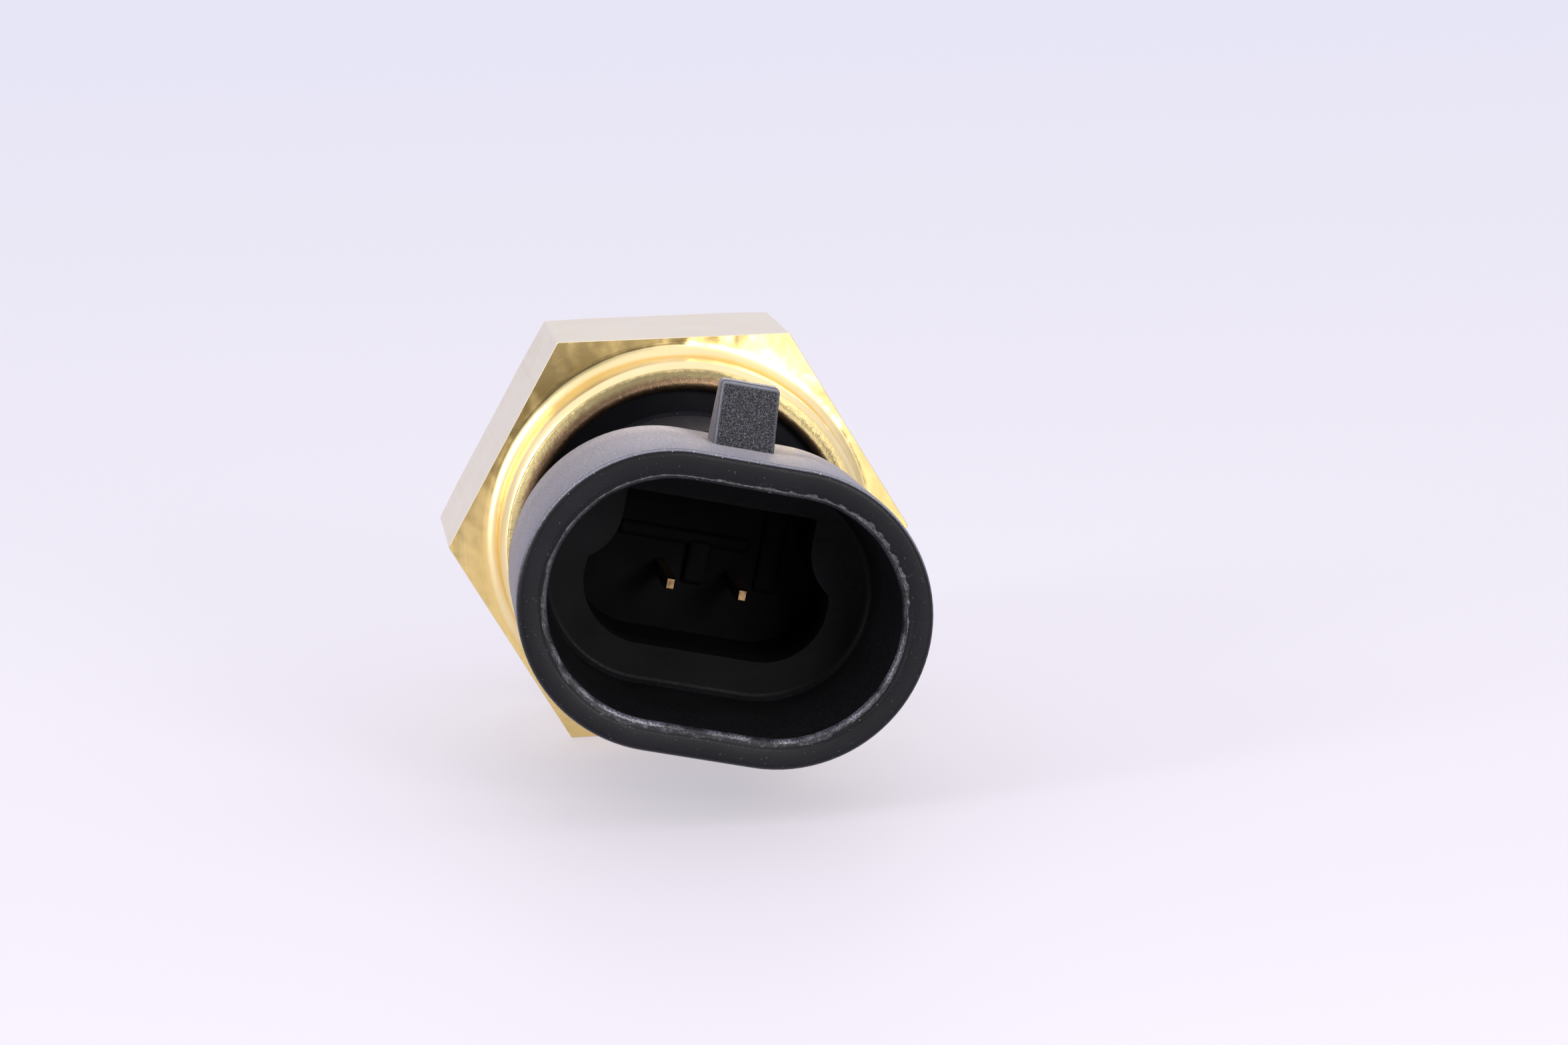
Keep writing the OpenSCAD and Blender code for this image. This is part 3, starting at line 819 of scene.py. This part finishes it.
def grained(name, base, roughness, metallic=0.0, scale=3.0, relief=0.004, shade=0.8, stretch=(1, 1, 1)):
    """A plain finish with its own clouding, grain and relief, for the small inner pieces."""
    mat, tree, shader = material(name, base, metallic, roughness)
    place = coordinates(tree, stretch)
    cloud = noise_at(tree, place, scale, 4.0)
    tint = blend_colours(tree, spread(tree, cloud, 0.3, 0.7, 0.0, 1.0), base, [c * shade for c in base])
    tree.links.new(tint, shader.inputs["Base Color"])
    uneven = spread(tree, cloud, 0.3, 0.7, roughness * 0.85, roughness * 1.2)
    tree.links.new(uneven, shader.inputs["Roughness"])
    bump(tree, shader, noise_at(tree, place, scale * 4, 3.0), relief)
    return mat


def tag_faces(shell):
    """Marks the ramp's sloping face, the scuffed edge of the mouth with its painted highlight, and the
    inside of the socket, which is painted darker as shade.
    """
    for face in shell.data.polygons:
        c = face.center
        across = (c.x * math.cos(TURN) + c.z * math.sin(TURN)) / MM
        height = (c.z * math.cos(TURN) - c.x * math.sin(TURN)) / MM
        depth = MOUTH + c.y / MM
        past_end = max(0.0, abs(across) - STRAIGHT)
        out = math.hypot(past_end, height)
        on_neck = depth > MOUTH - BACK and math.hypot(across, height) > NECK_R - 0.4
        if abs(across) < RAMP_W / 2 and height > OUTER_R + 0.2 and -c.y / MM > RAMP_CREST - 0.25:
            face.material_index = RAMP
        elif STEP_DEPTH < depth < 0.6 and abs(out - INNER_R) < 0.25:
            face.material_index = SCUFFED_HIGHLIT
        elif 0.35 < depth < MOUTH - SOCKET_FLOOR + 1 and out < INNER_R + 0.02 and not on_neck:
            face.material_index = INNER_SHADED


def paint(obj, *materials):
    """Gives an object its materials, and keeps the index that each face already has."""
    faces = obj.data.polygons
    tags = [face.material_index for face in faces]
    obj.data.materials.clear()
    for mat in materials:
        obj.data.materials.append(mat)
    if len(materials) > 1:
        faces.foreach_set("material_index", tags)


# ---------------------------------------------------------------- pieces
def build_pieces():
    body = brass_body()
    paint(body,
          brass("brass turned", (0.95, 0.73, 0.32), (0.87, 0.65, 0.25), (0.20, 0.30), 7.0, 0.002),
          brass("brass drawn", (0.84, 0.74, 0.54), (0.78, 0.67, 0.46), (0.17, 0.27), 2.2, 0.002, "drawn",
                wave=0.008),
          crimped_brass("brass crimped"),
          brass("brass spun", (0.91, 0.75, 0.42), (0.84, 0.68, 0.35), (0.28, 0.38), 7.0, 0.002,
                spread_out=0.3, wave=0.06))
    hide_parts("hex_body")
    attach(body, "root")

    shell = housing()
    tag_faces(shell)
    paint(shell,
          plastic("black plastic", (0.0038, 0.0036, 0.0050), 1.0, 13.0, 0.012, 0.15, 0.5),
          ramp_plastic("ramp plastic", (0.007, 0.007, 0.0085)),
          # the inside of the socket: a darker copy of the plastic without dust film or sheen, painted shade
          # in the deep cavity
          plastic("inner plastic shaded", (0.0034, 0.0034, 0.0040), 0.02, 4.0, 0.004, 0.05, 0.0),
          scuffed_highlit_plastic("scuffed highlit plastic", (0.008, 0.008, 0.010)))
    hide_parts("connector_housing")
    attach(shell, "root")

    torn = torn_plastic("torn plastic", (0.012, 0.012, 0.015))
    for trim in (rim_flash(), rim_flakes()):
        smoothed(trim.data, 30)
        paint(trim, torn)
        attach(trim, "root")

    disc, seat, keep = snap_disc()
    paint(disc, grained("spring steel", (0.60, 0.60, 0.60), 0.22, 1.0, 1.5, 0.002, 0.82))
    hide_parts("snap_disc")
    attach(disc, "root")
    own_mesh(disc)


def dress_frame():
    """Materials of the CAD nodes that stay as they are."""
    steel = grained("machined steel", (0.56, 0.57, 0.59), 0.30, 1.0, 2.0, 0.003, 0.8, (1, 8, 1))
    insert = brass("brass insert", (0.74, 0.54, 0.22), (0.64, 0.45, 0.16), (0.2, 0.34), 6.0, 0.003)
    pin = grained("stamped terminal", (0.48, 0.31, 0.15), 0.26, 1.0, 1.9, 0.012, 0.2)
    potting = grained("potting", (0.045, 0.034, 0.026), 0.22, scale=1.2, relief=0.01, shade=0.7)
    cream = grained("cream plastic", (0.66, 0.62, 0.50), 0.5, scale=1.5, relief=0.006, shade=0.9)
    rubber = grained("seal rubber", (0.016, 0.017, 0.018), 0.62, scale=2.5, relief=0.006, shade=1.6)
    finishes = {
        "terminal_left": pin, "terminal_right": pin,
        "terminal_potting": potting, "spacer_sleeve": cream,
        "flange_seal_ring": rubber, "diaphragm_oring": rubber, "port_oring": rubber,
        "pin_guide": steel, "disc_seat_ring": steel, "force_piston": steel, "piston_guide_ring": steel,
        "actuating_pin": grained("ceramic", (0.84, 0.82, 0.76), 0.3, scale=2.0, relief=0.002, shade=0.94),
        "diaphragm": grained("polyimide", (0.55, 0.24, 0.04), 0.25, scale=0.8, relief=0.002, shade=0.8),
        "port_restrictor": insert, "arm_spacer": insert, "arm_rivet": insert,
        "arm_root": grained("spring copper", (0.70, 0.40, 0.22), 0.28, 1.0, 2.0, 0.002, 0.8, (1, 1, 6)),
        "contact_arm": grained("spring copper arm", (0.70, 0.40, 0.22), 0.28, 1.0, 2.0, 0.002, 0.8,
                               (1, 1, 6)),
        "moving_contact": grained("silver", (0.84, 0.83, 0.80), 0.2, 1.0, 3.0, 0.002, 0.85),
        "fixed_contact": grained("silver fixed", (0.84, 0.83, 0.80), 0.2, 1.0, 3.0, 0.002, 0.85),
    }
    for name, mat in finishes.items():
        paint(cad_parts[name], mat)


# ---------------------------------------------------------------- stage
def studio():
    """A pale floor under a bright, soft sky with a darker side behind the camera."""
    half, gap = 6, 0.00002
    corners = ((-half, -half), (half, -half), (half, half), (-half, half))
    floor = new_object("floor", [(x, y, FLOOR_HEIGHT - gap) for x, y in corners], [(0, 1, 2, 3)])
    mat, tree, shader = material("floor", (0.5, 0.5, 0.5), 0.0, 0.6)
    parts = node(tree, "ShaderNodeSeparateXYZ", {"Vector": coordinates(tree, (MM, MM, MM))})
    away = spread(tree, parts.outputs["Y"], -0.1, 1.0, 0.0, 1.0)
    pale = blend_colours(tree, away, (0.285, 0.27, 0.30), (0.215, 0.236, 0.315))
    tree.links.new(pale, shader.inputs["Base Color"])
    # lit a little from below, as on a light table
    shader.inputs["Emission Color"].default_value = (0.97, 0.93, 1.0, 1.0)
    shader.inputs["Emission Strength"].default_value = 0.46
    paint(floor, mat)

    world = bpy.data.worlds.new("studio")
    world.use_nodes = True
    bpy.context.scene.world = world
    tree = world.node_tree
    place = node(tree, "ShaderNodeTexCoord")
    parts = node(tree, "ShaderNodeSeparateXYZ", {"Vector": place.outputs["Generated"]})
    # bright overhead, as bright as the floor at the far horizon, and dim round the camera
    up = spread(tree, parts.outputs["Z"], 0.10, 0.65, 0.0, 1.0)
    far = blend_colours(tree, up, (0.80, 0.79, 0.90), (1.25, 1.23, 1.33))
    room = blend_colours(tree, up, (0.30, 0.29, 0.30), (1.15, 1.14, 1.20))
    across = spread(tree, parts.outputs["Y"], -0.45, 0.15, 0.0, 1.0)
    around = blend_colours(tree, across, room, far)
    toward = node(tree, "ShaderNodeVectorMath", {0: place.outputs["Generated"]}, operation="DOT_PRODUCT")
    toward.inputs[1].default_value = Vector((-0.16, -0.97, 0.18)).normalized()
    near = spread(tree, toward.outputs["Value"], 0.80, 0.95, 0.0, 1.0)
    dome = blend_colours(tree, near, around, (0.02, 0.02, 0.022))
    background = tree.nodes["Background"]
    tree.links.new(dome, background.inputs["Color"])
    background.inputs["Strength"].default_value = 1.0


def area_light(name, place, target, size, power, colour):
    light = bpy.data.lights.new(name, "AREA")
    light.shape = "RECTANGLE"
    light.size, light.size_y = size
    light.energy = power
    light.color = colour
    obj = bpy.data.objects.new(name, light)
    bpy.context.scene.collection.objects.link(obj)
    obj.location = place
    obj.rotation_euler = (Vector(target) - Vector(place)).to_track_quat("-Z", "Y").to_euler()
    obj.visible_camera = False
    return obj


def lights():
    """A low softbox ahead and to the right, for the faces towards the camera, and one to the left."""
    target = (0, -0.015, 0)
    area_light("softbox", (0.126, -0.327, 0.097), target, (0.11, 0.11), 0.85, (1.0, 0.98, 0.95))
    area_light("side_box", (-0.285, -0.184, 0.110), target, (0.08, 0.20), 0.6, (1.0, 0.99, 0.97))


def camera():
    """Stands a little above and to the left of the switch, and looks down its axis."""
    yaw = math.radians(7.31)
    pitch = math.radians(9.84)
    roll = math.radians(-1.48)
    place = Vector((-0.0265, -0.2749, 0.0464))
    data = bpy.data.cameras.new("camera")
    data.sensor_width = 36.0
    data.lens = 91.0
    data.clip_start = 0.01
    obj = bpy.data.objects.new("camera", data)
    bpy.context.scene.collection.objects.link(obj)
    spin = (Matrix.Rotation(-yaw, 4, "Z") @ Matrix.Rotation(math.pi / 2 - pitch, 4, "X")
            @ Matrix.Rotation(roll, 4, "Z"))
    obj.matrix_world = Matrix.Translation(place) @ spin
    bpy.context.scene.camera = obj


camera()
build_pieces()
dress_frame()
studio()
lights()
bpy.context.scene.view_settings.view_transform = "Standard"
